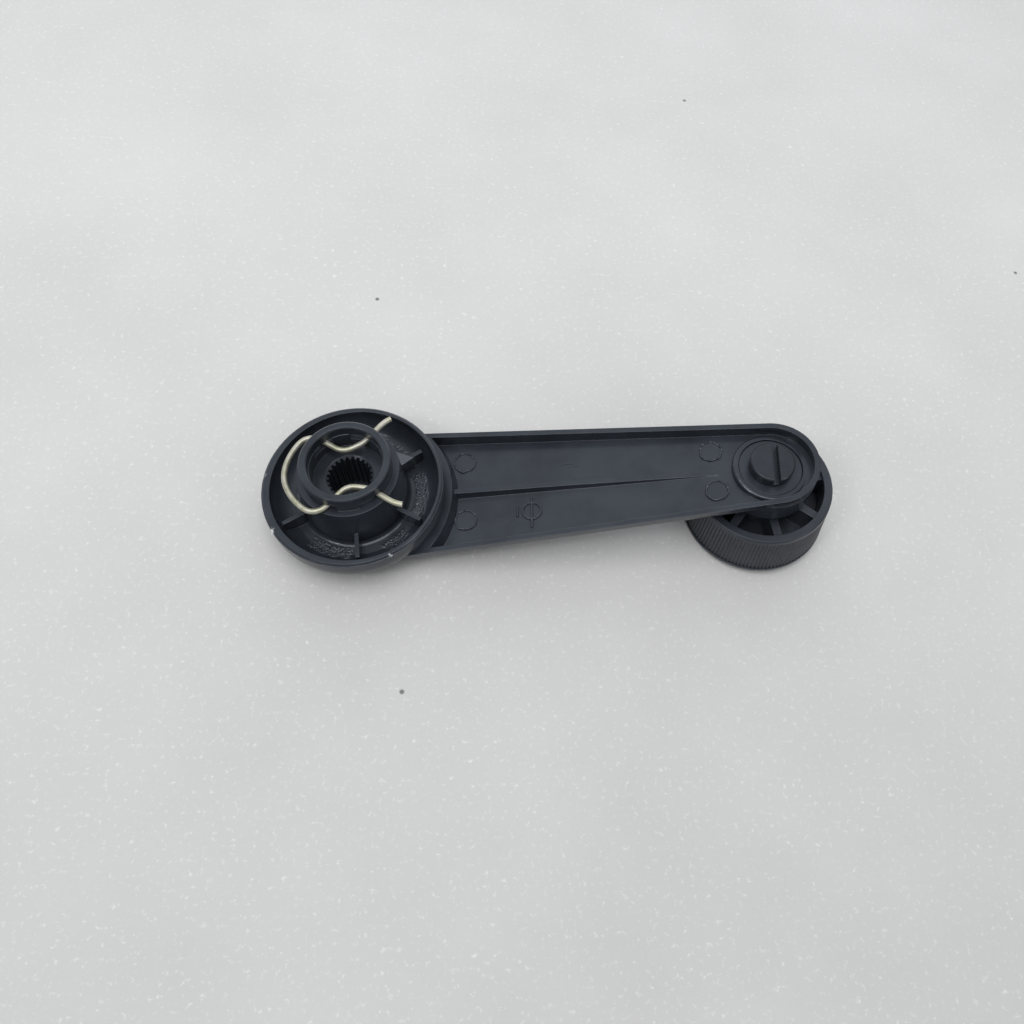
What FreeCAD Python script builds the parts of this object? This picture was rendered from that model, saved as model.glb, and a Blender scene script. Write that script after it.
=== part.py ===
"""Window crank operator: a hand crank for a winding window or shutter.

One moulded arm carries a round hub at one end and a free-turning knob at the other.
The hub's boss takes the splined shaft of the window regulator, and a bent wire clip
that passes through windows in the boss wall snaps into the groove of that shaft.

Frame, in millimetres: the origin is on the spline axis in the plane of the hub rim,
+X runs along the arm to the knob and +Z points out of the back, towards the regulator.
"""
import FreeCAD, Part
import math
import os

V = FreeCAD.Vector
AXIS_Z = V(0, 0, 1)
OVERLAP = 1.0            # how far a cutting or joining body runs past a surface
ROOTED = 0.4             # how deep raised marks and ribs are let into the floor
FAR = 30.0               # well above or below everything

# Hub shell
HUB_R = 22.5             # outer radius of the hub
RIM_STEP_R = 22.2        # the rim stands back a little from the side wall
RIM_STEP_DEPTH = 0.6
RIM_CHAMFER = 0.25
HUB_SIDE_DEPTH = 3.0     # straight part of the side wall
HUB_BULGE = (21.2, -7.6) # radius and height the rounded side passes through
HUB_SHOULDER_R = 17.0    # where the side wall has turned into the front face
HUB_SHOULDER_Z = -11.2
HUB_FRONT_Z = -13.0      # middle of the domed front face
HUB_FLAT_R = 3.0         # flat middle of the dome
BOWL_R = 20.9            # hollow behind the hub
BOWL_SHIFT = 0.5         # the hollow is set towards the arm
BOWL_FLOOR_R = 16.6
BOWL_FLOOR_Z = -6.5
BOWL_SIDE_DEPTH = 1.6
BOWL_BEND = (19.65, -4.9)    # radius and height the rounded foot passes through

# Boss in the middle of the hub
BOSS_BASE_R = 13.3
BOSS_FILLET = 1.2
SHOULDER_R = 12.5        # flat shoulder that the wire clip lies on
SHOULDER_Z = 6.2
RING_R = 11.0            # ring above the shoulder
RING_TOP_Z = 10.9
MOUTH_R = 9.07           # smooth mouth of the socket, above the windows
MOUTH_LOW_R = 8.87       # the same hollow at the windows and below
MOUTH_FLOOR_Z = 3.5
RING_CHAMFER = 0.3

# Splined socket
SPLINE_TEETH = 24
SPLINE_CREST_R = 5.05
SPLINE_ROOT_R = 5.6
SPLINE_FLOOR_Z = -9.0
SPLINE_LEAD_IN = 0.6
SPLINE_LEAD_R = 5.95
SPLINE_CREST_END = 0.28  # shares of one pitch
SPLINE_ROOT_START = 0.48
SPLINE_ROOT_END = 0.80

# Windows in the ring wall: first and last angle of each, about the clip's own axis
CLIP_TURN = 8.0          # the clip's axis is turned this far from the arm
WINDOW_ANGLES = ((46.0, 80.0), (107.0, 147.0))
WINDOW_HEIGHT = 1.95

# Radial ribs of the hub
RIB_ANGLES = (30.0, 209.0, 275.5, 330.0)
RIB_THICKNESS = 1.0
RIB_END_R = 19.4
RIB_TOP_Z = -2.0
GUSSET = ((12.2, 24.0, -1.9), (16.9, 27.5, -1.9), (13.2, 48.0, -0.9))   # radius, angle, height
GUSSET_DEPTH = 4.0

# Arm: a tapered channel, open at the back, whose lip rises towards the knob
KNOB_X = 103.5           # distance between the spline axis and the pin axis
LIP_RISE = 5.1           # slope of the lip plane, degrees
LIP_Z0 = -7.4            # height of the lip plane above the spline axis
LIP_HUB_HALF = 18.4      # half width of the outline at the spline axis
LIP_END_HALF = 11.3      # half width where the end arc starts
LIP_STRAIGHT = 104.0     # where the end arc starts
LIP_END_X = 115.2        # tip of the end arc
ARM_DEPTH = 5.4          # lip to front face
LIP_WIDTH = 1.35
ARM_BAND = 2.2           # upright part of the arm's side
ARM_DRAFT = 0.25         # how far the side leans in over that part
ARM_ROUND = 6.2          # how far the rounding runs in under the arm
ARM_ROUND_STEPS = 6
RECESS_START_DEPTH = 4.0
RECESS_END_DEPTH = 3.0
RECESS_ROOT = 22.4       # radius of the hub wall where it meets the rim
RECESS_ROOT_LOW = 27.5   # the wall slopes out to this radius below the channel floor
RECESS_LOW_Z = -14.0
RECESS_HIGH_Z = 5.0
RIDGE_START = 20.0
RIDGE_END = 91.0
RIDGE_HEIGHT = 2.5
RIDGE_MIDDLE_HEIGHT = 1.55
RIDGE_END_HEIGHT = 0.05
RIDGE_TOP = 0.6          # half width of the ridge at its top
RIDGE_FOOT = 0.95        # half width of the ridge at its foot
DISC_R = 2.6             # small round marks left by the ejector pins
DISC_PROUD = 0.18
DISC_PLACES = ((27.2, 9.4), (27.3, -7.2), (89.9, 6.3), (90.0, -4.9))

# Seat of the pin at the knob end: a raised ring with the head washer let into it
SEAT_R = 9.3
SEAT_RING_Z = -0.5
SEAT_ROUND = 0.6         # rounding of the ring's outer edge
SEAT_SINK_R = 7.9
SEAT_Z = -1.35
SEAT_WEB = 2.0           # thickness of the floor under the seat
END_BOSS_R = 11.4        # round boss under the knob end of the arm
END_BOSS_TOP_Z = -0.4
END_BOSS_LOW_Z = -6.5
END_BOSS_CHAMFER = 0.3
SEAT_UNDER_R = 7.6       # neck below that boss
SEAT_UNDER_Z = -7.4

# Pin and the pieces on it
PIN_R = 4.0
PIN_FIT = 0.05           # radial clearance round the pin
PIN_CHAMFER = 0.5
HEAD_R = 5.4
HEAD_HEIGHT = 2.95
HEAD_CHAMFER = 0.3
SLOT_WIDTH = 1.55
SLOT_DEPTH = 2.0
SLOT_TURN = 85.0
SLOT_SHIFT = 0.7         # the slot is a little off the middle of the head
WASHER_R = 7.7
WASHER_THICKNESS = 0.6
THRUST_R = 7.2
THRUST_THICKNESS = 1.0
PIN_END_Z = -20.0
GROOVE_R = 3.3
GROOVE_WIDTH = 0.9
GROOVE_DROP = 0.1        # the groove starts this far below the knob's web
CIRCLIP_R = 6.2
CIRCLIP_THICKNESS = 0.8
CIRCLIP_PLAY = 0.05      # clearance above the ring in its groove
CIRCLIP_FIT = 0.02       # clearance inside the ring
CIRCLIP_GAP = 50.0       # opening of the retaining ring, degrees

# Knob
KNOB_RIM_Z = -7.9
KNOB_RIM_R = 17.3
KNOB_FRONT_R = 18.4
KNOB_FRONT_Z = -21.0
KNOB_WALL = 2.1
KNOB_WEB_TOP = -16.0
KNOB_WEB_BOTTOM = -18.2
KNOB_CUP_R = 16.2
TUBE_R = 7.6
TUBE_TOP_Z = -8.45
SPOKE_COUNT = 8
SPOKE_TURN = 5.5         # where the knob happens to stand
SPOKE_THICKNESS = 2.0
SPOKE_TOP_Z = -8.9
SPOKE_ROOT_R = 6.2
FLUTE_COUNT = 120
FLUTE_DEPTH = 0.35
PLAIN_BAND = 1.3
KNOB_CHAMFER = 0.3
BUSH_R = 5.2
CAP_R = 18.5
CAP_FRONT_Z = -22.35
CAP_BACK_Z = -21.3
CAP_CHAMFER = 0.4
SPIGOT_R = 16.18
SPIGOT_INNER_R = 14.2
SPIGOT_TOP_Z = -18.9

# Wire clip
WIRE_R = 0.7
CLIP_Z = 7.05
CLIP_HALF = (
    (-15.0, 0.0), (-14.5, 3.1), (-13.2, 6.0), (-11.6, 8.25), (-10.1, 9.65),
    (-8.6, 10.15), (-7.1, 10.0), (-5.7, 9.2), (-2.9, 6.9), (-1.1, 5.6), (0.6, 5.25),
    (2.3, 5.6), (4.4, 6.4), (8.3, 9.7), (12.0, 12.1),
)


def polar(radius, angle, z=0.0):
    a = math.radians(angle)
    return V(radius * math.cos(a), radius * math.sin(a), z)


def disc(radius, z_low, z_high, x=0.0, y=0.0):
    return Part.makeCylinder(radius, z_high - z_low, V(x, y, z_low), AXIS_Z)


def tube(outer, inner, z_low, z_high, x=0.0):
    hole = disc(inner, z_low - OVERLAP, z_high + OVERLAP, x)
    return disc(outer, z_low, z_high, x).cut(hole)


def outward(solid):
    """The same solid with its faces looking outwards."""
    if solid.Volume < 0:
        solid = solid.reversed()
    return solid


def turned(edges, x=0.0):
    """Solid of revolution about the vertical axis at x, from edges in the XZ plane."""
    face = Part.Face(Part.Wire(edges))
    return outward(face.revolve(V(x, 0, 0), AXIS_Z, 360))


def chain(points, x=0.0):
    """Straight edges round a closed list of radius and height pairs."""
    corners = [V(x + r, 0, z) for r, z in points]
    return Part.makePolygon(corners + [corners[0]]).Edges


def line(a, b):
    return Part.makeLine(V(a[0], 0, a[1]), V(b[0], 0, b[1]))


def arc(a, mid, b):
    return Part.Arc(V(a[0], 0, a[1]), V(mid[0], 0, mid[1]), V(b[0], 0, b[1])).toShape()


def dome(a, b):
    """Curve from a to b that arrives level at b."""
    curve = Part.BezierCurve()
    curve.setPoles([V(a[0], 0, a[1]), V((a[0] + b[0]) / 2, 0, b[1]), V(b[0], 0, b[1])])
    return curve.toShape()


def sector(r_out, r_in, z_low, z_high, first, last):
    """Part of a ring between two angles."""
    low = V(0, 0, z_low)
    height = z_high - z_low
    outer = Part.makeCylinder(r_out, height, low, AXIS_Z, last - first)
    inner = Part.makeCylinder(r_in, height, low, AXIS_Z)
    piece = outer.cut(inner)
    piece.rotate(V(0, 0, 0), AXIS_Z, first)
    return piece


def fused(shapes):
    body = shapes[0]
    for shape in shapes[1:]:
        body = body.fuse(shape)
    return body


def carved(body, cutters):
    for cutter in cutters:
        body = body.cut(cutter)
    return body


def lip_height(x):
    return LIP_Z0 + x * math.tan(math.radians(LIP_RISE))


# Hub

def hub_outer():
    side = (HUB_R, -HUB_SIDE_DEPTH)
    shoulder = (HUB_SHOULDER_R, HUB_SHOULDER_Z)
    edges = [
        line((0, HUB_FRONT_Z), (0, 0)),
        line((0, 0), (RIM_STEP_R - RIM_CHAMFER, 0)),
        line((RIM_STEP_R - RIM_CHAMFER, 0), (RIM_STEP_R, -RIM_CHAMFER)),
        line((RIM_STEP_R, -RIM_CHAMFER), (RIM_STEP_R, -RIM_STEP_DEPTH)),
        line((RIM_STEP_R, -RIM_STEP_DEPTH), (HUB_R, -RIM_STEP_DEPTH)),
        line((HUB_R, -RIM_STEP_DEPTH), side),
        arc(side, HUB_BULGE, shoulder),
        dome(shoulder, (HUB_FLAT_R, HUB_FRONT_Z)),
        line((HUB_FLAT_R, HUB_FRONT_Z), (0, HUB_FRONT_Z)),
    ]
    return turned(edges)


def hub_bowl():
    """Hollow behind the hub, with a rounded foot."""
    s = BOWL_SHIFT
    wall = (s + BOWL_R, -BOWL_SIDE_DEPTH)
    foot = (s + BOWL_FLOOR_R, BOWL_FLOOR_Z)
    top = RING_TOP_Z + OVERLAP
    edges = [
        line((s, BOWL_FLOOR_Z), foot),
        arc(foot, (s + BOWL_BEND[0], BOWL_BEND[1]), wall),
        line(wall, (s + BOWL_R, top)),
        line((s + BOWL_R, top), (s, top)),
        line((s, top), (s, BOWL_FLOOR_Z)),
    ]
    return turned(edges, s)


def boss():
    low = BOWL_FLOOR_Z - OVERLAP
    foot = (BOSS_BASE_R + BOSS_FILLET, BOWL_FLOOR_Z)
    neck = (BOSS_BASE_R, BOWL_FLOOR_Z + BOSS_FILLET)
    bend = BOSS_FILLET * (1 - math.sqrt(0.5))
    ring_side = RING_TOP_Z - RING_CHAMFER
    edges = [
        line((0, low), (foot[0], low)),
        line((foot[0], low), foot),
        arc(foot, (BOSS_BASE_R + bend, BOWL_FLOOR_Z + bend), neck),
        line(neck, (SHOULDER_R, SHOULDER_Z)),
        line((SHOULDER_R, SHOULDER_Z), (RING_R, SHOULDER_Z)),
        line((RING_R, SHOULDER_Z), (RING_R, ring_side)),
        line((RING_R, ring_side), (RING_R - RING_CHAMFER, RING_TOP_Z)),
        line((RING_R - RING_CHAMFER, RING_TOP_Z), (0, RING_TOP_Z)),
        line((0, RING_TOP_Z), (0, low)),
    ]
    return turned(edges)


def hub_ribs():
    ribs = []
    low = BOWL_FLOOR_Z - OVERLAP
    start = RING_R
    for angle in RIB_ANGLES:
        rib = Part.makeBox(RIB_END_R - start, RIB_THICKNESS, RIB_TOP_Z - low,
                           V(start, -RIB_THICKNESS / 2, low))
        rib.rotate(V(0, 0, 0), AXIS_Z, angle)
        ribs.append(rib)
    return ribs


def gusset():
    """Small sloping web in the corner between the boss and the rib next to the arm."""
    corners = [polar(radius, angle, z) for radius, angle, z in GUSSET]
    face = Part.Face(Part.makePolygon(corners + [corners[0]]))
    return face.extrude(V(0, 0, -GUSSET_DEPTH))


def spline_profile():
    """Closed wire of the socket: flat-topped teeth between a crest and a root radius."""
    pitch = 360.0 / SPLINE_TEETH
    corners = []
    for k in range(SPLINE_TEETH):
        start = k * pitch
        corners.append(polar(SPLINE_CREST_R, start, SPLINE_FLOOR_Z))
        corners.append(polar(SPLINE_CREST_R, start + pitch * SPLINE_CREST_END, SPLINE_FLOOR_Z))
        corners.append(polar(SPLINE_ROOT_R, start + pitch * SPLINE_ROOT_START, SPLINE_FLOOR_Z))
        corners.append(polar(SPLINE_ROOT_R, start + pitch * SPLINE_ROOT_END, SPLINE_FLOOR_Z))
    return Part.makePolygon(corners + [corners[0]])


def socket():
    """Everything that is hollow in the boss: mouth, lead-in and splines."""
    splines = Part.Face(spline_profile()).extrude(V(0, 0, MOUTH_FLOOR_Z - SPLINE_FLOOR_Z))
    lead_low = MOUTH_FLOOR_Z - SPLINE_LEAD_IN
    lead = Part.makeCone(SPLINE_CREST_R, SPLINE_LEAD_R, SPLINE_LEAD_IN,
                         V(0, 0, lead_low), AXIS_Z)
    low_mouth = disc(MOUTH_LOW_R, MOUTH_FLOOR_Z, RING_TOP_Z)
    mouth = disc(MOUTH_R, SHOULDER_Z + WINDOW_HEIGHT, RING_TOP_Z + OVERLAP)
    rim_low = RING_TOP_Z - RING_CHAMFER
    flare = Part.makeCone(MOUTH_R, MOUTH_R + RING_CHAMFER * 2, RING_CHAMFER * 2,
                          V(0, 0, rim_low), AXIS_Z)
    return fused([mouth, low_mouth, lead, splines, flare])


def clip_windows():
    """Four openings through the ring wall, in mirror pairs about the clip's axis."""
    top = SHOULDER_Z + WINDOW_HEIGHT
    cuts = []
    for first, last in WINDOW_ANGLES:
        for low, high in ((first, last), (-last, -first)):
            cut = sector(RING_R + OVERLAP, MOUTH_R - OVERLAP, SHOULDER_Z, top,
                         low + CLIP_TURN, high + CLIP_TURN)
            cuts.append(cut)
    return cuts


# Arm

def on_lip_plane(shape):
    """Move a shape from the flat drawing of the arm onto the sloping lip plane."""
    shape.rotate(V(0, 0, 0), V(0, 1, 0), -LIP_RISE)
    shape.translate(V(0, 0, LIP_Z0))
    return shape


def arm_wire(inset, z):
    """Outline of the arm, moved in by inset: two straight tapering sides and an end arc."""
    hub = LIP_HUB_HALF - inset
    end = LIP_END_HALF - inset
    x_end = LIP_STRAIGHT
    side_a = Part.makeLine(V(0, -hub, z), V(x_end, -end, z))
    tip = Part.Arc(V(x_end, -end, z), V(LIP_END_X - inset, 0, z), V(x_end, end, z))
    side_b = Part.makeLine(V(x_end, end, z), V(0, hub, z))
    closing = Part.makeLine(V(0, hub, z), V(0, -hub, z))
    return Part.Wire([side_a, tip.toShape(), side_b, closing])


def arm_body():
    """Outside of the arm: an upright lip band whose foot rounds over into the front face."""
    upper = Part.makeLoft([arm_wire(0, 0), arm_wire(ARM_DRAFT, -ARM_BAND)], True, True)
    rings = []
    for k in range(ARM_ROUND_STEPS + 1):
        angle = math.pi / 2 * k / ARM_ROUND_STEPS
        depth = ARM_BAND + (ARM_DEPTH - ARM_BAND) * math.sin(angle)
        inset = ARM_DRAFT + ARM_ROUND * (1 - math.cos(angle))
        rings.append(arm_wire(inset, -depth))
    lower = Part.makeLoft(rings, True, True)
    body = on_lip_plane(fused([upper, lower]))
    return body.cut(disc(HUB_SHOULDER_R, -FAR, FAR))


def end_boss():
    """Round boss under the knob end, as wide as the arm there."""
    edge = END_BOSS_R - END_BOSS_CHAMFER
    low = END_BOSS_LOW_Z
    points = [
        (0, low), (edge, low), (END_BOSS_R, low + END_BOSS_CHAMFER),
        (END_BOSS_R, END_BOSS_TOP_Z), (0, END_BOSS_TOP_Z),
    ]
    return turned(chain(points, KNOB_X), KNOB_X)


def arm_recess():
    """Channel in the back of the arm, shallower at the knob end, stopped at the hub wall."""
    outline = Part.Face(arm_wire(LIP_WIDTH, 0.0))
    block = outline.extrude(V(0, 0, -ARM_DEPTH))
    reach = LIP_END_X + OVERLAP
    width = LIP_HUB_HALF + OVERLAP
    corners = [
        V(0, -width, OVERLAP),
        V(0, -width, -RECESS_START_DEPTH),
        V(reach, -width, -RECESS_END_DEPTH),
        V(reach, -width, OVERLAP),
    ]
    wedge = Part.Face(Part.makePolygon(corners + [corners[0]])).extrude(V(0, 2 * width, 0))
    above = Part.Face(arm_wire(LIP_WIDTH, 0.0)).extrude(V(0, 0, OVERLAP))
    channel = on_lip_plane(fused([block, above]).common(wedge))
    hub_wall = turned(chain([(0, RECESS_LOW_Z), (RECESS_ROOT_LOW, RECESS_LOW_Z),
                             (RECESS_ROOT, 0), (RECESS_ROOT, RECESS_HIGH_Z),
                             (0, RECESS_HIGH_Z)]))
    return channel.cut(hub_wall)


def floor_depth(x):
    return RECESS_START_DEPTH + (RECESS_END_DEPTH - RECESS_START_DEPTH) * x / LIP_END_X


def arm_ridge():
    """Ridge along the middle of the channel that dies away towards the knob."""
    def section(x, height):
        low = -floor_depth(x) - ROOTED
        top = -floor_depth(x) + height
        corners = [V(x, -RIDGE_FOOT, low), V(x, RIDGE_FOOT, low),
                   V(x, RIDGE_TOP, top), V(x, -RIDGE_TOP, top)]
        return Part.makePolygon(corners + [corners[0]])

    start = section(RIDGE_START, RIDGE_HEIGHT)
    middle = section((RIDGE_START + RIDGE_END) / 2, RIDGE_MIDDLE_HEIGHT)
    end = section(RIDGE_END, RIDGE_END_HEIGHT)
    first = Part.makeLoft([start, middle], True, True)
    second = Part.makeLoft([middle, end], True, True)
    return [on_lip_plane(first), on_lip_plane(second)]


def ejector_discs():
    discs = []
    for x, y in DISC_PLACES:
        floor = -floor_depth(x)
        mark = disc(DISC_R, floor - ROOTED, floor + DISC_PROUD, x, y)
        discs.append(on_lip_plane(mark))
    return discs


def seat():
    """Level pad under the pin head, and the level boss that the knob turns against."""
    inside_floor = lip_height(KNOB_X) - RECESS_END_DEPTH - SEAT_WEB
    side = KNOB_X + SEAT_R
    side_top = (side, SEAT_RING_Z - SEAT_ROUND)
    crown = (side - SEAT_ROUND, SEAT_RING_Z)
    bend = SEAT_ROUND * (1 - math.sqrt(0.5))
    pad = turned([
        line((KNOB_X, inside_floor), (side, inside_floor)),
        line((side, inside_floor), side_top),
        arc(side_top, (side - bend, SEAT_RING_Z - bend), crown),
        line(crown, (KNOB_X, SEAT_RING_Z)),
        line((KNOB_X, SEAT_RING_Z), (KNOB_X, inside_floor)),
    ], KNOB_X)
    under = disc(SEAT_UNDER_R, SEAT_UNDER_Z, inside_floor, KNOB_X)
    return [pad, under]


def crank_arm():
    outside = fused([hub_outer(), arm_body(), end_boss()])
    shell = carved(outside, [hub_bowl(), arm_recess()])
    inside_hub = disc(BOWL_R + BOWL_SHIFT, BOWL_FLOOR_Z, 0)
    ridges = [ridge.cut(inside_hub) for ridge in arm_ridge()]
    added = [boss(), gusset()] + hub_ribs() + ridges + ejector_discs() + seat()
    solid = fused([shell] + added)
    pin_hole = disc(PIN_R + PIN_FIT, SEAT_UNDER_Z - OVERLAP, SEAT_Z + OVERLAP, KNOB_X)
    sink = disc(SEAT_SINK_R, SEAT_Z, SEAT_RING_Z + OVERLAP, KNOB_X)
    return carved(solid, [socket(), pin_hole, sink] + clip_windows())


# Clip

def clip_points():
    upper = [V(x, y, CLIP_Z) for x, y in CLIP_HALF]
    lower = [V(x, -y, CLIP_Z) for x, y in CLIP_HALF[:0:-1]]
    return lower + upper


def spring_clip():
    """Bent wire: a wide bow round the ring and two legs that cross the socket."""
    curve = Part.BSplineCurve()
    curve.interpolate(clip_points())
    path = Part.Wire([curve.toShape()])
    start = curve.value(curve.FirstParameter)
    direction = curve.tangent(curve.FirstParameter)[0]
    section = Part.Wire([Part.makeCircle(WIRE_R, start, direction)])
    wire = path.makePipeShell([section], True, False)
    wire.rotate(V(0, 0, 0), AXIS_Z, CLIP_TURN)
    return wire


# Pin and its rings

def head_washer():
    return tube(WASHER_R, PIN_R + PIN_FIT, SEAT_Z, SEAT_Z + WASHER_THICKNESS, KNOB_X)


def knob_pin():
    """Slotted headed pin with a groove near its free end."""
    head_low = SEAT_Z + WASHER_THICKNESS
    head_top = head_low + HEAD_HEIGHT
    groove_top = KNOB_WEB_BOTTOM - GROOVE_DROP
    points = [
        (0, PIN_END_Z), (PIN_R - PIN_CHAMFER, PIN_END_Z), (PIN_R, PIN_END_Z + PIN_CHAMFER),
        (PIN_R, groove_top - GROOVE_WIDTH), (GROOVE_R, groove_top - GROOVE_WIDTH),
        (GROOVE_R, groove_top), (PIN_R, groove_top), (PIN_R, head_low),
        (HEAD_R, head_low), (HEAD_R, head_top - HEAD_CHAMFER),
        (HEAD_R - HEAD_CHAMFER, head_top), (0, head_top),
    ]
    pin = turned(chain(points, KNOB_X), KNOB_X)
    slot = Part.makeBox(3 * HEAD_R, SLOT_WIDTH, SLOT_DEPTH + OVERLAP,
                        V(-1.5 * HEAD_R, -SLOT_WIDTH / 2, head_top - SLOT_DEPTH))
    slot.rotate(V(0, 0, 0), AXIS_Z, SLOT_TURN)
    slot.translate(V(KNOB_X + SLOT_SHIFT, 0, 0))
    return pin.cut(slot)


def thrust_washer():
    top = SEAT_UNDER_Z
    return tube(THRUST_R, PIN_R + PIN_FIT, top - THRUST_THICKNESS, top, KNOB_X)


def pin_circlip():
    """Open retaining ring in the groove of the pin."""
    top = KNOB_WEB_BOTTOM - GROOVE_DROP - CIRCLIP_PLAY
    inner = GROOVE_R + CIRCLIP_FIT
    half_gap = CIRCLIP_GAP / 2
    ring = sector(CIRCLIP_R, inner, top - CIRCLIP_THICKNESS, top, half_gap, 360 - half_gap)
    ring.translate(V(KNOB_X, 0, 0))
    return ring


# Knob

def knob_radius(z):
    share = (KNOB_RIM_Z - z) / (KNOB_RIM_Z - KNOB_FRONT_Z)
    return KNOB_RIM_R + share * (KNOB_FRONT_R - KNOB_RIM_R)


def flute_wire(z):
    """Saw-tooth outline of the grip at height z."""
    pitch = 360.0 / FLUTE_COUNT
    corners = []
    for k in range(FLUTE_COUNT):
        corners.append(polar(knob_radius(z), k * pitch, z))
        corners.append(polar(knob_radius(z) - FLUTE_DEPTH, (k + 0.5) * pitch, z))
    return Part.makePolygon(corners + [corners[0]])


def knob_outside():
    """Plain band at the rim, then the fluted grip."""
    band_low = KNOB_RIM_Z - PLAIN_BAND
    band = turned(chain([(0, band_low), (knob_radius(band_low), band_low),
                         (KNOB_RIM_R, KNOB_RIM_Z - KNOB_CHAMFER),
                         (KNOB_RIM_R - KNOB_CHAMFER, KNOB_RIM_Z),
                         (0, KNOB_RIM_Z)]))
    grip = Part.makeLoft([flute_wire(KNOB_FRONT_Z), flute_wire(band_low)], True, True)
    return band.fuse(grip)


def knob_spokes():
    spokes = []
    length = KNOB_RIM_R - KNOB_WALL / 2 - SPOKE_ROOT_R
    low = KNOB_WEB_TOP - ROOTED
    for k in range(SPOKE_COUNT):
        spoke = Part.makeBox(length, SPOKE_THICKNESS, SPOKE_TOP_Z - low,
                             V(SPOKE_ROOT_R, -SPOKE_THICKNESS / 2, low))
        spoke.rotate(V(0, 0, 0), AXIS_Z, SPOKE_TURN + k * 360.0 / SPOKE_COUNT)
        spokes.append(spoke)
    return spokes


def knob_body():
    """Hollow fluted knob with a bearing tube and spokes, open towards the arm."""
    hollow_r = KNOB_RIM_R - KNOB_WALL
    hollow = disc(hollow_r, KNOB_WEB_TOP, KNOB_RIM_Z + OVERLAP)
    cup = disc(KNOB_CUP_R, KNOB_FRONT_Z - OVERLAP, KNOB_WEB_BOTTOM)
    shell = carved(knob_outside(), [hollow, cup])
    column = disc(TUBE_R, KNOB_WEB_TOP - ROOTED, TUBE_TOP_Z)
    solid = fused([shell, column] + knob_spokes())
    bore = disc(BUSH_R, KNOB_WEB_BOTTOM - OVERLAP, KNOB_RIM_Z + OVERLAP)
    solid = solid.cut(bore)
    solid.translate(V(KNOB_X, 0, 0))
    return solid


def knob_bush():
    return tube(BUSH_R, PIN_R + PIN_FIT, KNOB_WEB_BOTTOM, TUBE_TOP_Z, KNOB_X)


def knob_cap():
    """Smooth front disc with a ring that pushes into the front of the knob."""
    points = [
        (0, CAP_FRONT_Z), (CAP_R - CAP_CHAMFER, CAP_FRONT_Z), (CAP_R, CAP_FRONT_Z + CAP_CHAMFER),
        (CAP_R, CAP_BACK_Z), (SPIGOT_R, CAP_BACK_Z), (SPIGOT_R, SPIGOT_TOP_Z),
        (SPIGOT_INNER_R, SPIGOT_TOP_Z), (SPIGOT_INNER_R, CAP_BACK_Z), (0, CAP_BACK_Z),
    ]
    return turned(chain(points, KNOB_X), KNOB_X)


PIECES = {
    "crank_arm": crank_arm,
    "spring_clip": spring_clip,
    "head_washer": head_washer,
    "knob_pin": knob_pin,
    "thrust_washer": thrust_washer,
    "pin_circlip": pin_circlip,
    "knob_body": knob_body,
    "knob_bush": knob_bush,
    "knob_cap": knob_cap,
}


def build():
    os.makedirs("parts", exist_ok=True)
    for name, make in PIECES.items():
        shape = make()
        if len(shape.Solids) == 1:
            shape = shape.Solids[0]
        box = shape.BoundBox
        print(name, shape.ShapeType, shape.isValid(), round(shape.Volume, 1),
              "z", round(box.ZMin, 2), round(box.ZMax, 2))
        shape.exportStep("parts/" + name + ".step")


build()
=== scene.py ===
import math

import bpy
from mathutils import Matrix, Vector, noise


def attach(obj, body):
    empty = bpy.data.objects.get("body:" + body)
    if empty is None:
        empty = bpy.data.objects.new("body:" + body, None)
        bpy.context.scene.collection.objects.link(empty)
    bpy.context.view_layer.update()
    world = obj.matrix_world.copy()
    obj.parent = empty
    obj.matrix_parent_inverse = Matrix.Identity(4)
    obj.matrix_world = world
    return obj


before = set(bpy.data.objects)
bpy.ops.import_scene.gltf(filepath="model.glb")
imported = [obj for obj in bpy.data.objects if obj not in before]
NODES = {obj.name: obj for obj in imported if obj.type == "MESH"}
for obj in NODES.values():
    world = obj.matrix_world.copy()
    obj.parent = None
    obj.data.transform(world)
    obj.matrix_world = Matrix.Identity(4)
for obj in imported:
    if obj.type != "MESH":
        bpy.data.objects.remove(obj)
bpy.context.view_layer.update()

MM = 0.001


# Node materials -----------------------------------------------------------------------

def new_material(name):
    mat = bpy.data.materials.new(name)
    mat.use_nodes = True
    tree = mat.node_tree
    return mat, tree, tree.nodes["Principled BSDF"]


def link(tree, a, out, b, into):
    tree.links.new(a.outputs[out], b.inputs[into])


def add(tree, kind, **values):
    node = tree.nodes.new(kind)
    for key, value in values.items():
        setattr(node, key, value)
    return node


def position(tree):
    """Object coordinates, so that a pattern moves with its piece."""
    coord = add(tree, "ShaderNodeTexCoord")
    mapping = add(tree, "ShaderNodeMapping")
    link(tree, coord, "Object", mapping, "Vector")
    return mapping


def noise_at(tree, coords, scale, detail=3.0, rough=0.55):
    tex = add(tree, "ShaderNodeTexNoise")
    tex.inputs["Scale"].default_value = scale
    tex.inputs["Detail"].default_value = detail
    tex.inputs["Roughness"].default_value = rough
    link(tree, coords, "Vector", tex, "Vector")
    return tex


def ramp(tree, source, out, stops):
    node = add(tree, "ShaderNodeValToRGB")
    elements = node.color_ramp.elements
    while len(elements) < len(stops):
        elements.new(0.5)
    for element, (place, colour) in zip(elements, stops):
        element.position = place
        element.color = (*colour, 1.0)
    link(tree, source, out, node, "Fac")
    return node


def spread(tree, source, out, low, high, to_low, to_high):
    """Maps the range from low to high onto the range from to_low to to_high."""
    node = add(tree, "ShaderNodeMapRange")
    node.inputs["From Min"].default_value = low
    node.inputs["From Max"].default_value = high
    node.inputs["To Min"].default_value = to_low
    node.inputs["To Max"].default_value = to_high
    link(tree, source, out, node, "Value")
    return node


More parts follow.
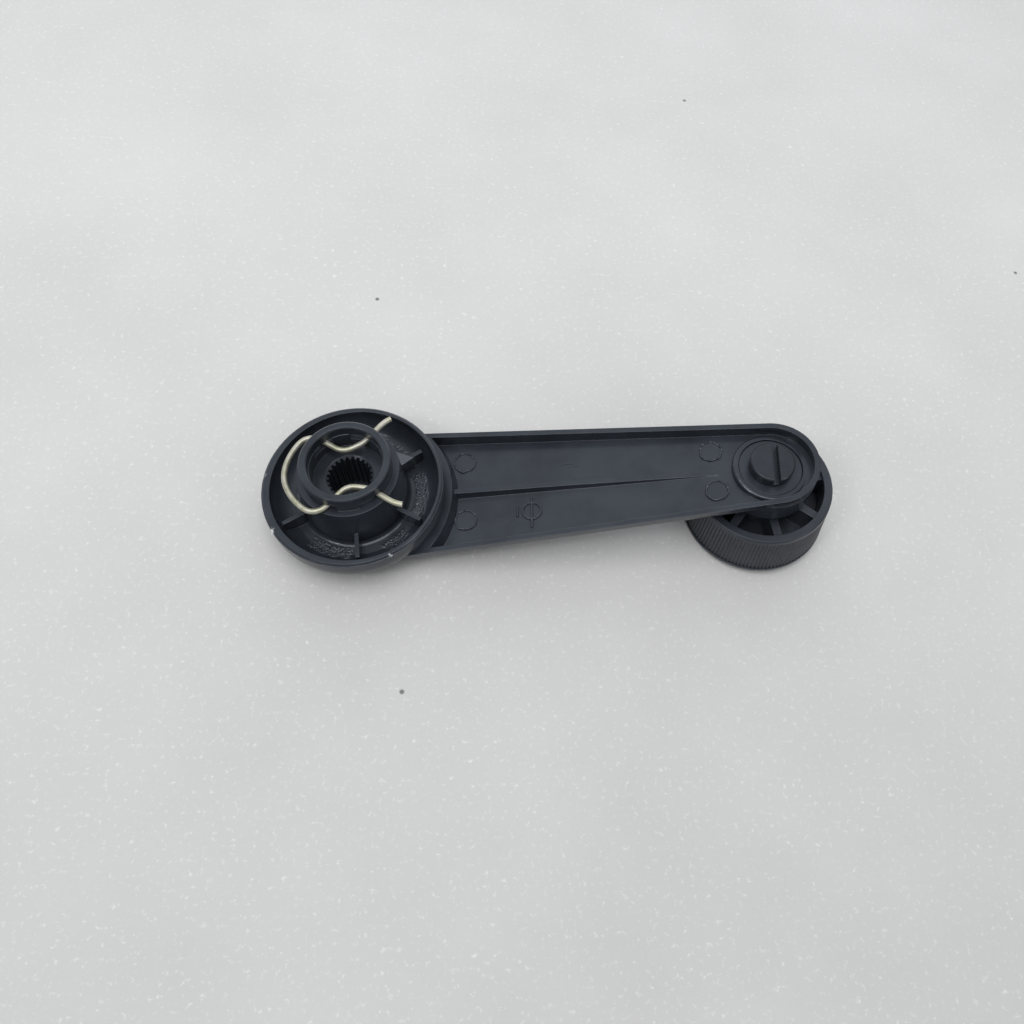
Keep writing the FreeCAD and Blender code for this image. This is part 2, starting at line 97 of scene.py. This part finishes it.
def mixed(tree, factor, under, colour):
    """Colour socket: under, with colour laid over it where the factor socket is white."""
    mix = add(tree, "ShaderNodeMix", data_type="RGBA")
    tree.links.new(factor, mix.inputs[0])
    tree.links.new(under, mix.inputs[6])
    mix.inputs[7].default_value = (*colour, 1.0)
    return mix.outputs[2]


def fine_bump(tree, source, out, strength, distance):
    """Relief of a surface, with its depth in metres."""
    bump = add(tree, "ShaderNodeBump")
    bump.inputs["Strength"].default_value = strength
    bump.inputs["Distance"].default_value = distance
    link(tree, source, out, bump, "Height")
    return bump


def edge_mask(tree, radius):
    """Normal rounded over the edges, and a mask that is white along them."""
    bevel = add(tree, "ShaderNodeBevel", samples=6)
    bevel.inputs["Radius"].default_value = radius
    geometry = add(tree, "ShaderNodeNewGeometry")
    dot = add(tree, "ShaderNodeVectorMath", operation="DOT_PRODUCT")
    link(tree, bevel, "Normal", dot, 0)
    link(tree, geometry, "Normal", dot, 1)
    mask = spread(tree, dot, "Value", 0.99, 0.80, 0.0, 1.0)
    return bevel, mask


def spot(tree, coords, centre, radius):
    """White near one point of the piece, black away from it."""
    away = add(tree, "ShaderNodeVectorMath", operation="DISTANCE")
    link(tree, coords, "Vector", away, 0)
    away.inputs[1].default_value = [c * MM for c in centre]
    return spread(tree, away, "Value", radius * MM * 0.3, radius * MM, 1.0, 0.0)


def moulded_plastic(name, base, roughness, grain=0.15, wear_and_sheen=0.5, chips=()):
    """Black moulded plastic: cloudy tone, fine grain, faint scratches, chips, and pale edges that
    are partly wear and partly a painted highlight along every edge.
    """
    mat, tree, bsdf = new_material(name)
    coords = position(tree)
    cloud = noise_at(tree, coords, 90.0, 4.0)
    light = tuple(c * 1.25 for c in base)
    dark = tuple(c * 0.80 for c in base)
    tone = ramp(tree, cloud, "Fac", ((0.35, dark), (0.65, light)))
    bevel, mask = edge_mask(tree, 0.00022)
    crumble = noise_at(tree, coords, 900.0, 5.0, 0.7)
    broken = spread(tree, crumble, "Fac", 0.42, 0.62, 0.0, wear_and_sheen)
    # Pale edges: partly wear, partly a painted highlight laid along every edge, whichever way it
    # faces.
    worn_and_sheen = add(tree, "ShaderNodeMath", operation="MULTIPLY", use_clamp=True)
    link(tree, mask, "Result", worn_and_sheen, 0)
    link(tree, broken, "Result", worn_and_sheen, 1)
    surface = mixed(tree, worn_and_sheen.outputs[0], tone.outputs["Color"], (0.09, 0.095, 0.10))
    flake = noise_at(tree, coords, 1300.0, 4.0, 0.75)
    torn = spread(tree, flake, "Fac", 0.48, 0.56, 0.0, 1.0)
    for x, y, z, radius in chips:
        near = spot(tree, coords, (x, y, z), radius)
        chip = add(tree, "ShaderNodeMath", operation="MULTIPLY")
        link(tree, near, "Result", chip, 0)
        link(tree, torn, "Result", chip, 1)
        surface = mixed(tree, chip.outputs[0], surface, (0.62, 0.63, 0.64))
    tree.links.new(surface, bsdf.inputs["Base Color"])
    patches = noise_at(tree, coords, 260.0, 5.0, 0.6)
    rough = spread(tree, patches, "Fac", 0.3, 0.7, roughness - 0.04, roughness + 0.04)
    link(tree, rough, "Result", bsdf, "Roughness")
    fine = noise_at(tree, coords, 5200.0, 2.0)
    bump = fine_bump(tree, fine, "Fac", grain, 0.00006)
    link(tree, bevel, "Normal", bump, "Normal")
    scratch = add(tree, "ShaderNodeTexWave", wave_type="BANDS", bands_direction="DIAGONAL")
    scratch.inputs["Scale"].default_value = 700.0
    scratch.inputs["Distortion"].default_value = 14.0
    scratch.inputs["Detail"].default_value = 4.0
    link(tree, coords, "Vector", scratch, "Vector")
    thin = spread(tree, scratch, "Fac", 0.93, 1.0, 0.0, 1.0)
    lines = fine_bump(tree, thin, "Result", 0.08, 0.00003)
    link(tree, bump, "Normal", lines, "Normal")
    link(tree, lines, "Normal", bsdf, "Normal")
    bsdf.inputs["Specular IOR Level"].default_value = 0.42
    bsdf.inputs["Specular Tint"].default_value = (0.86, 0.92, 1.0, 1.0)
    return mat


def zinc_wire(name):
    """Spring wire with a pale yellow zinc coat that wears to bare steel in places."""
    mat, tree, bsdf = new_material(name)
    coords = position(tree)
    blotch = noise_at(tree, coords, 420.0, 4.0, 0.6)
    tone = ramp(tree, blotch, "Fac", (
        (0.30, (0.28, 0.28, 0.19)), (0.48, (0.37, 0.36, 0.28)), (0.66, (0.43, 0.41, 0.37)),
    ))
    link(tree, tone, "Color", bsdf, "Base Color")
    rough = spread(tree, blotch, "Fac", 0.3, 0.7, 0.38, 0.52)
    link(tree, rough, "Result", bsdf, "Roughness")
    bsdf.inputs["Metallic"].default_value = 0.7
    fine = noise_at(tree, coords, 4200.0, 3.0)
    link(tree, fine_bump(tree, fine, "Fac", 0.25, 0.00004), "Normal", bsdf, "Normal")
    return mat


def spring_steel(name):
    """Bright hardened steel of the retaining ring."""
    mat, tree, bsdf = new_material(name)
    coords = position(tree)
    blotch = noise_at(tree, coords, 600.0, 4.0)
    tone = ramp(tree, blotch, "Fac", ((0.3, (0.34, 0.35, 0.36)), (0.7, (0.55, 0.56, 0.57))))
    link(tree, tone, "Color", bsdf, "Base Color")
    rough = spread(tree, blotch, "Fac", 0.3, 0.7, 0.28, 0.42)
    link(tree, rough, "Result", bsdf, "Roughness")
    bsdf.inputs["Metallic"].default_value = 1.0
    fine = noise_at(tree, coords, 3000.0, 2.0)
    link(tree, fine_bump(tree, fine, "Fac", 0.2, 0.00003), "Normal", bsdf, "Normal")
    return mat


def nylon(name):
    """Off-white nylon of the knob's bearing sleeve."""
    mat, tree, bsdf = new_material(name)
    coords = position(tree)
    cloud = noise_at(tree, coords, 300.0, 3.0)
    tone = ramp(tree, cloud, "Fac", ((0.3, (0.60, 0.59, 0.53)), (0.7, (0.76, 0.75, 0.70))))
    link(tree, tone, "Color", bsdf, "Base Color")
    rough = spread(tree, cloud, "Fac", 0.3, 0.7, 0.40, 0.55)
    link(tree, rough, "Result", bsdf, "Roughness")
    fine = noise_at(tree, coords, 4000.0, 2.0)
    link(tree, fine_bump(tree, fine, "Fac", 0.2, 0.00004), "Normal", bsdf, "Normal")
    return mat


def paint(node, mat):
    mesh = NODES[node].data
    mesh.materials.clear()
    mesh.materials.append(mat)


BLACK = (0.0195, 0.0225, 0.0285)
PIN_BLACK = (0.0120, 0.0138, 0.0175)
CHIPS = (       # places on the hub's rim, and how far each chip reaches
    (-18.9, -12.0, -0.9, 1.3), (-21.9, 3.3, -0.6, 0.9), (10.0, -20.1, -0.3, 0.8),
)
arm_plastic = moulded_plastic("arm_plastic", BLACK, 0.22, chips=CHIPS)
knob_plastic = moulded_plastic("knob_plastic", BLACK, 0.31)
pin_black = moulded_plastic("pin_black", PIN_BLACK, 0.27)
washer_plastic = moulded_plastic("washer_plastic", BLACK, 0.23)
grained = moulded_plastic("grained_plastic", BLACK, 0.25, grain=0.3, wear_and_sheen=0.15)
paint("crank_arm", arm_plastic)
paint("knob_body", knob_plastic)
paint("knob_cap", knob_plastic)
paint("knob_pin", pin_black)
paint("head_washer", washer_plastic)
paint("thrust_washer", washer_plastic)
paint("spring_clip", zinc_wire("clip_wire"))
paint("pin_circlip", spring_steel("ring_steel"))
paint("knob_bush", nylon("bush_plastic"))


# Small moulded details ----------------------------------------------------------------

def make_piece(name, points, faces, mat):
    """Mesh object from points in millimetres; it moves with the crank's body."""
    mesh = bpy.data.meshes.new(name)
    mesh.from_pydata([(x * MM, y * MM, z * MM) for x, y, z in points], [], faces)
    mesh.update()
    mesh.materials.append(mat)
    piece = bpy.data.objects.new(name, mesh)
    bpy.context.scene.collection.objects.link(piece)
    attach(piece, "crank")


def sheet(tops, drop):
    """Closed thin body: a grid of points on top, the same grid lowered by drop, and sides."""
    rows, cols = len(tops), len(tops[0])
    points = [p for row in tops for p in row]
    points += [(x, y, z - drop) for row in tops for x, y, z in row]
    under = rows * cols
    faces = []
    for r in range(rows - 1):
        for c in range(cols - 1):
            a = r * cols + c
            quad = (a, a + 1, a + cols + 1, a + cols)
            faces.append(quad)
            faces.append(tuple(under + i for i in reversed(quad)))
    border = list(range(cols))
    border += [r * cols + cols - 1 for r in range(1, rows)]
    border += [(rows - 1) * cols + c for c in range(cols - 2, -1, -1)]
    border += [r * cols for r in range(rows - 2, 0, -1)]
    for i, a in enumerate(border):
        b = border[(i + 1) % len(border)]
        faces.append((b, a, under + a, under + b))
    return points, faces


def circle_through(a, b, c):
    """Centre and radius of the circle through three points."""
    d = 2 * (a[0] * (b[1] - c[1]) + b[0] * (c[1] - a[1]) + c[0] * (a[1] - b[1]))
    sa, sb, sc = (p[0] ** 2 + p[1] ** 2 for p in (a, b, c))
    x = (sa * (b[1] - c[1]) + sb * (c[1] - a[1]) + sc * (a[1] - b[1])) / d
    y = (sa * (c[0] - b[0]) + sb * (a[0] - c[0]) + sc * (b[0] - a[0])) / d
    return x, y, math.hypot(a[0] - x, a[1] - y)


BOWL_SHIFT = 0.5            # the hub's hollow is set this far towards the arm
BOWL_FLOOR = -6.5
FOOT = ((16.6, -6.5), (19.65, -4.9), (20.9, -1.6))    # radius and height of the bowl's foot
FOOT_X, FOOT_Z, FOOT_R = circle_through(*FOOT)
GRAIN_RADIUS = 17.0         # middle radius of the grained areas
GRAIN_STEP = 0.17           # spacing of the points of their surface


def bowl_height(x, y):
    """Height of the hub's hollow at a point."""
    r = math.hypot(x - BOWL_SHIFT, y)
    if r < FOOT[0][0]:
        return BOWL_FLOOR
    return FOOT_Z - math.sqrt(max(0.0, FOOT_R ** 2 - (r - FOOT_X) ** 2))


def stipple(x, y):
    """Pebbled relief between 0 and 1."""
    near = noise.voronoi(Vector((x * 2.1, y * 2.1, 3.7)))[0][0]
    fine = noise.noise(Vector((x * 4.3, y * 4.3, 1.2)))
    return max(0.0, min(1.0, 1.0 - 1.25 * near + 0.35 * fine))


def grained_patch(name, first, last, inner, outer, height):
    """Grained area of the hub floor between two angles and two radii."""
    cols = int(math.radians(last - first) * GRAIN_RADIUS / GRAIN_STEP)
    rows = int((outer - inner) / GRAIN_STEP)
    tops = []
    for r in range(rows + 1):
        v = r / rows
        row = []
        for c in range(cols + 1):
            u = c / cols
            wobble = 0.25 * noise.noise(Vector((u * 9.0, v * 5.0, first)))
            radius = inner + (outer - inner) * v + wobble
            angle = math.radians(first + (last - first) * u)
            x, y = radius * math.cos(angle), radius * math.sin(angle)
            edge = min(1.0, 7.0 * min(u, 1 - u), 5.0 * min(v, 1 - v))
            lift = -0.06 + edge * (0.09 + height * stipple(x, y))
            row.append((x, y, bowl_height(x, y) + lift))
        tops.append(row)
    points, faces = sheet(tops, 0.25)
    make_piece(name, points, faces, grained)


PATCHES = (     # first and last angle, inner and outer radius, relief
    (-24.0, 23.0, 14.6, 18.6, 0.28), (-68.0, -36.0, 15.0, 19.2, 0.26),
    (-134.0, -88.5, 14.0, 18.0, 0.28), (-195.0, -158.0, 13.9, 15.6, 0.12),
    (97.0, 140.0, 14.6, 18.0, 0.14), (38.0, 83.0, 14.6, 18.2, 0.12),
)
for index, patch in enumerate(PATCHES):
    grained_patch("grain_%d" % index, *patch)

# The arm's channel, drawn flat and then tilted onto the slope of its lip
LIP_RISE = math.radians(5.1)
LIP_LIFT = -7.4
FLOOR_AT_HUB = -4.0         # height of the channel's floor from the lip, at the hub's axis
FLOOR_LENGTH = 115.2        # length over which the floor rises by 1 mm
STROKE_FOOT = 0.15          # depth to which raised lines are set into the floor
STROKE_TOP = 0.55           # width of their top, as a part of the width at the foot
DISC_PLACES = ((27.2, 9.4), (27.3, -7.2), (89.9, 6.3), (90.0, -4.9))
BURR_RADIUS = 2.68
BURR_RAGGED = 0.28          # how far a burr wanders from its circle
BURR_LIFT = 0.30            # how far its crest wanders up and down
ARM_PLANE = Matrix.Translation((0.0, 0.0, LIP_LIFT)) @ Matrix.Rotation(-LIP_RISE, 4, "Y")


def channel_floor(x):
    return FLOOR_AT_HUB + x / FLOOR_LENGTH


def on_channel(x, y, height):
    """Point of the arm, from its place in the flat drawing and its height over the floor."""
    return tuple(ARM_PLANE @ Vector((x, y, channel_floor(x) + height)))


def stroke(path, width, height, closed=False):
    """Raised line on the channel floor with a narrower top and a foot set into the floor."""
    points, faces = [], []
    count = len(path)
    foot = -STROKE_FOOT
    for i, (x, y) in enumerate(path):
        before = path[i - 1] if closed or i > 0 else path[i]
        after = path[(i + 1) % count] if closed or i < count - 1 else path[i]
        along = Vector((after[0] - before[0], after[1] - before[1])).normalized()
        nx, ny = -along.y, along.x
        for side, rise in ((1.0, foot), (STROKE_TOP, height), (-STROKE_TOP, height), (-1.0, foot)):
            w = side * width / 2
            points.append(on_channel(x + nx * w, y + ny * w, rise))
    spans = count if closed else count - 1
    for i in range(spans):
        a, b = 4 * i, 4 * ((i + 1) % count)
        for k in range(4):
            n = (k + 1) % 4
            faces.append((a + k, a + n, b + n, b + k))
    if not closed:
        faces.append((3, 2, 1, 0))
        last = 4 * (count - 1)
        faces.append((last, last + 1, last + 2, last + 3))
    return points, faces


def joined(parts):
    points, faces = [], []
    for part_points, part_faces in parts:
        start = len(points)
        points += part_points
        faces += [tuple(start + i for i in face) for face in part_faces]
    return points, faces


def ring_path(x, y, radius, count=28):
    turn = 2 * math.pi / count
    angles = [k * turn for k in range(count)]
    return [(x + radius * math.cos(a), y + radius * math.sin(a)) for a in angles]


def mould_mark():
    """Plain mark of the mould: a ring with one bar through it and a short tick beside it."""
    x, y = 43.6, -6.4
    parts = [
        stroke(ring_path(x + 0.4, y + 0.3, 2.3), 0.80, 0.38, closed=True),
        stroke([(x + 0.5, y + 3.9), (x + 0.2, y - 4.3)], 0.85, 0.42),
        stroke([(x - 3.1, y + 1.6), (x - 3.3, y - 1.0)], 0.75, 0.36),
    ]
    points, faces = joined(parts)
    make_piece("mould_mark", points, faces, arm_plastic)


def flash_mark():
    """Small scar left where the plastic entered the mould."""
    x, y = 54.3, 6.1
    parts = [
        stroke([(x - 1.9, y + 0.3), (x - 0.5, y + 0.5), (x + 0.8, y + 0.2)], 0.36, 0.16),
        stroke([(x - 0.2, y - 0.6), (x + 1.2, y - 0.3), (x + 2.2, y - 0.5)], 0.32, 0.14),
    ]
    points, faces = joined(parts)
    make_piece("flash_mark", points, faces, arm_plastic)


def ejector_burr(index, x, y):
    """Ragged ridge of plastic left round an ejector pin."""
    path, count = [], 52
    for k in range(count):
        angle = 2 * math.pi * k / count
        ragged = noise.noise(Vector((math.cos(angle) * 2.3, math.sin(angle) * 2.3, index * 5.1)))
        radius = BURR_RADIUS + BURR_RAGGED * ragged
        path.append((x + radius * math.cos(angle), y + radius * math.sin(angle)))
    points, faces = stroke(path, 0.62, 0.46, closed=True)
    rough = []
    for i, (px, py, pz) in enumerate(points):
        crest = i % 4 in (1, 2)
        lift = 0.0
        if crest:
            lift = BURR_LIFT * noise.noise(Vector((px * 1.7, py * 1.7, index * 3.3)))
        rough.append((px, py, pz + lift))
    make_piece("ejector_burr_%d" % index, rough, faces, arm_plastic)


mould_mark()
flash_mark()
for index, (x, y) in enumerate(DISC_PLACES):
    ejector_burr(index, x, y)


# Stage --------------------------------------------------------------------------------

FLOOR_TILT = math.radians(6.2)      # the crank lies on the hub's dome and the knob's front edge
FLOOR_POINT = Vector((0.085, 0.0, -0.02236))
FLOOR_HALF = 3.0
CAMERA_PLACE = (0.0392, -0.1088, 0.1919)
CAMERA_LENS = 31.412109375


def floor_material():
    """Pale stone-like board with tiny bright flecks, a few dark specks of dirt, and painted shade
    that darkens it towards low Y.
    """
    mat, tree, bsdf = new_material("floor")
    coords = position(tree)
    cloud = noise_at(tree, coords, 14.0, 5.0, 0.6)
    tone = ramp(tree, cloud, "Fac", ((0.3, (0.485, 0.478, 0.468)), (0.7, (0.535, 0.527, 0.518))))
    mottle = noise_at(tree, coords, 700.0, 6.0, 0.75)
    fleck = spread(tree, mottle, "Fac", 0.56, 0.70, 0.0, 0.65)
    pale = mixed(tree, fleck.outputs["Result"], tone.outputs["Color"], (0.76, 0.755, 0.75))
    cells = add(tree, "ShaderNodeTexVoronoi", voronoi_dimensions="2D")
    cells.inputs["Scale"].default_value = 7.0
    link(tree, coords, "Vector", cells, "Vector")
    speck = spread(tree, cells, "Distance", 0.0028, 0.0052, 0.8, 0.0)
    dirty = mixed(tree, speck.outputs["Result"], pale, (0.06, 0.06, 0.06))
    # Painted shade: the board is darkened towards low Y, the camera's side, standing in for light
    # falling off there.
    parts = add(tree, "ShaderNodeSeparateXYZ")
    link(tree, coords, "Vector", parts, "Vector")
    painted_shade = spread(tree, parts, "Y", -0.11, 0.10, 0.19, 0.02)
    painted_shade_colour = mixed(tree, painted_shade.outputs["Result"], dirty, (0, 0, 0))
    tree.links.new(painted_shade_colour, bsdf.inputs["Base Color"])
    bsdf.inputs["Roughness"].default_value = 0.6
    link(tree, fine_bump(tree, mottle, "Fac", 0.25, 0.00015), "Normal", bsdf, "Normal")
    return mat


def make_floor():
    mesh = bpy.data.meshes.new("floor")
    half = FLOOR_HALF
    corners = [(-half, -half, 0), (half, -half, 0), (half, half, 0), (-half, half, 0)]
    mesh.from_pydata(corners, [], [(0, 1, 2, 3)])
    floor = bpy.data.objects.new("floor", mesh)
    bpy.context.scene.collection.objects.link(floor)
    mesh.materials.append(floor_material())
    floor.rotation_euler = (0.0, FLOOR_TILT, 0.0)
    floor.location = FLOOR_POINT


def area_light(name, place, target, size, power):
    """Round lamp that looks at a target."""
    data = bpy.data.lights.new(name, "AREA")
    data.shape = "DISK"
    data.size = size
    data.energy = power
    lamp = bpy.data.objects.new(name, data)
    lamp.location = place
    lamp.rotation_mode = "QUATERNION"
    lamp.rotation_quaternion = (Vector(target) - Vector(place)).to_track_quat("-Z", "Y")
    bpy.context.scene.collection.objects.link(lamp)


def make_world(above, horizon, behind):
    """Even studio light, brighter overhead and behind the crank than at the other horizons."""
    world = bpy.data.worlds.new("studio")
    world.use_nodes = True
    tree = world.node_tree
    coord = add(tree, "ShaderNodeTexCoord")
    parts = add(tree, "ShaderNodeSeparateXYZ")
    link(tree, coord, "Generated", parts, "Vector")
    up = spread(tree, parts, "Z", 0.15, 0.95, horizon, above)
    back = spread(tree, parts, "Y", 0.45, 0.95, 0.0, behind)
    strength = add(tree, "ShaderNodeMath", operation="ADD")
    link(tree, up, "Result", strength, 0)
    link(tree, back, "Result", strength, 1)
    background = tree.nodes["Background"]
    background.inputs["Color"].default_value = (0.93, 0.965, 1.0, 1.0)
    link(tree, strength, "Value", background, "Strength")
    bpy.context.scene.world = world


def make_camera():
    """Looks down at the back of the crank from the long side, 63 degrees above it."""
    right = Vector((0.9992, -0.0356, -0.0186)).normalized()
    forward = Vector((-0.0002, 0.4583, -0.8888))
    forward = (forward - right * forward.dot(right)).normalized()
    up = right.cross(forward)
    data = bpy.data.cameras.new("camera")
    data.sensor_width = 36.0
    data.lens = CAMERA_LENS
    data.clip_start = 0.01
    data.clip_end = 20.0
    camera = bpy.data.objects.new("camera", data)
    turn = Matrix((right, up, -forward)).transposed().to_4x4()
    camera.matrix_world = Matrix.Translation(CAMERA_PLACE) @ turn
    bpy.context.scene.collection.objects.link(camera)
    bpy.context.scene.camera = camera


make_floor()
make_world(0.81, 0.42, 1.30)
area_light("key", (0.05, -0.15, 1.8), (0.05, 0.0, 0.0), 1.3, 18.0)
area_light("window", (-0.85, -0.65, 1.45), (0.04, 0.0, 0.0), 0.35, 6.0)
area_light("side", (1.3, -0.9, 0.55), (0.08, 0.0, 0.0), 0.5, 2.0)
make_camera()
bpy.context.scene.view_settings.view_transform = "Standard"
